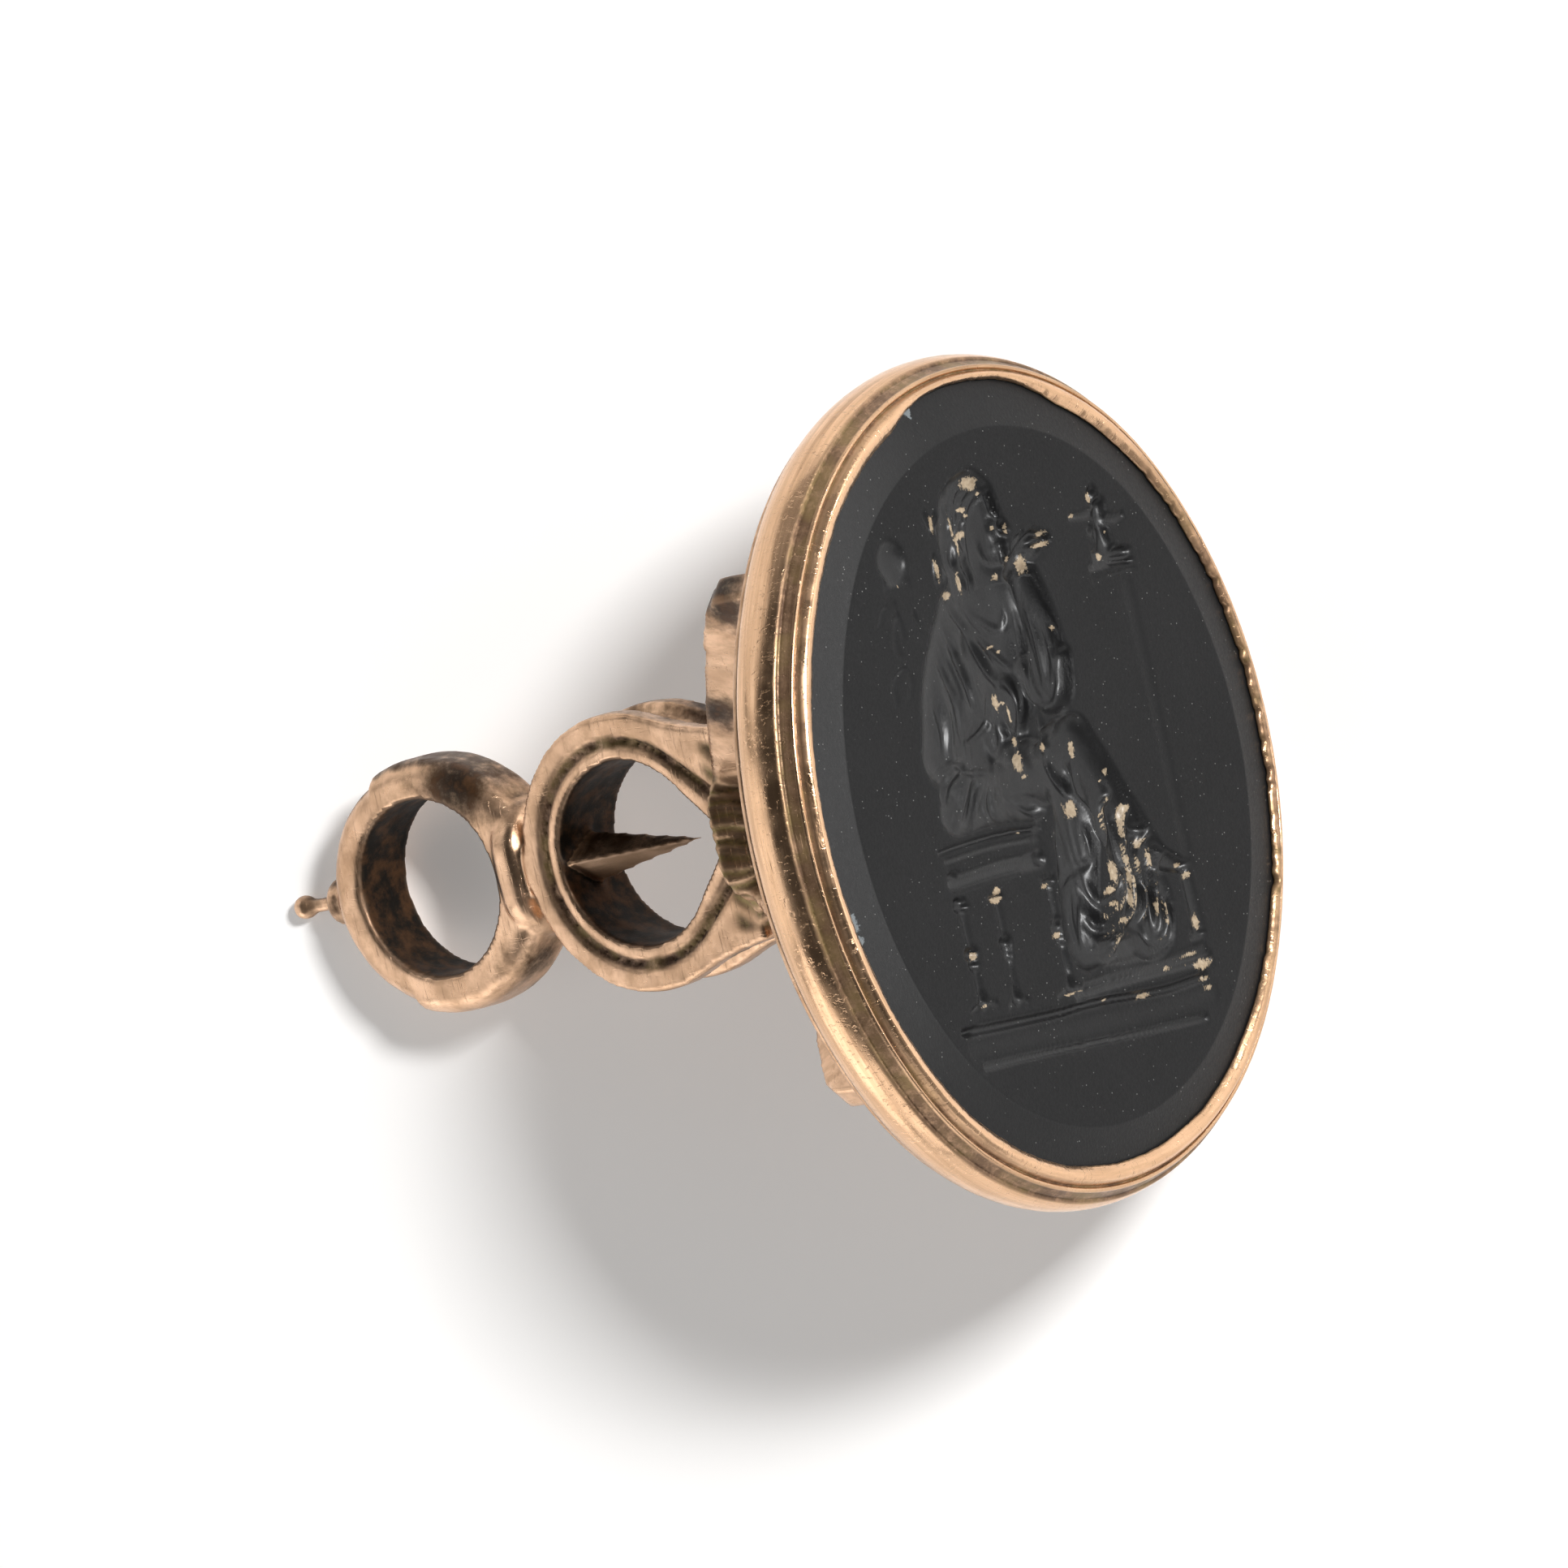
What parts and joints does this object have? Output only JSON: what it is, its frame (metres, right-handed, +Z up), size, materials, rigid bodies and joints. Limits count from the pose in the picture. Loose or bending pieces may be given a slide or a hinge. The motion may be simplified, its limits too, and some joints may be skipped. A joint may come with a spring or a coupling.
{
  "type": "intaglio fob seal",
  "caption": "Old fob seal: an oval black intaglio stone in a rose gold bezel, on a cast openwork stem with a pierced cage, a collar, a bow and a small finial.",
  "frame": {"origin": "centre of the laid-down seal's bounding box, on the surface it lies on", "axes": "+X along the oval's long axis towards the carved head, +Y from the stone towards the finial, +Z up from the surface"},
  "size_m": [0.0266, 0.0336, 0.0223],
  "materials": {
    "black_stone": "matte ground face with a brushed bevel",
    "rose_gold_bezel": "worn polished rose gold with brown tarnish in its grooves",
    "rose_gold_stem": "worn rose gold, tarnished brown in the hollows"
  },
  "bodies": {
    "root": {"intaglio_stone": "black_stone", "bezel": "rose_gold_bezel", "stem": "rose_gold_stem"}
  },
  "joints": []
}
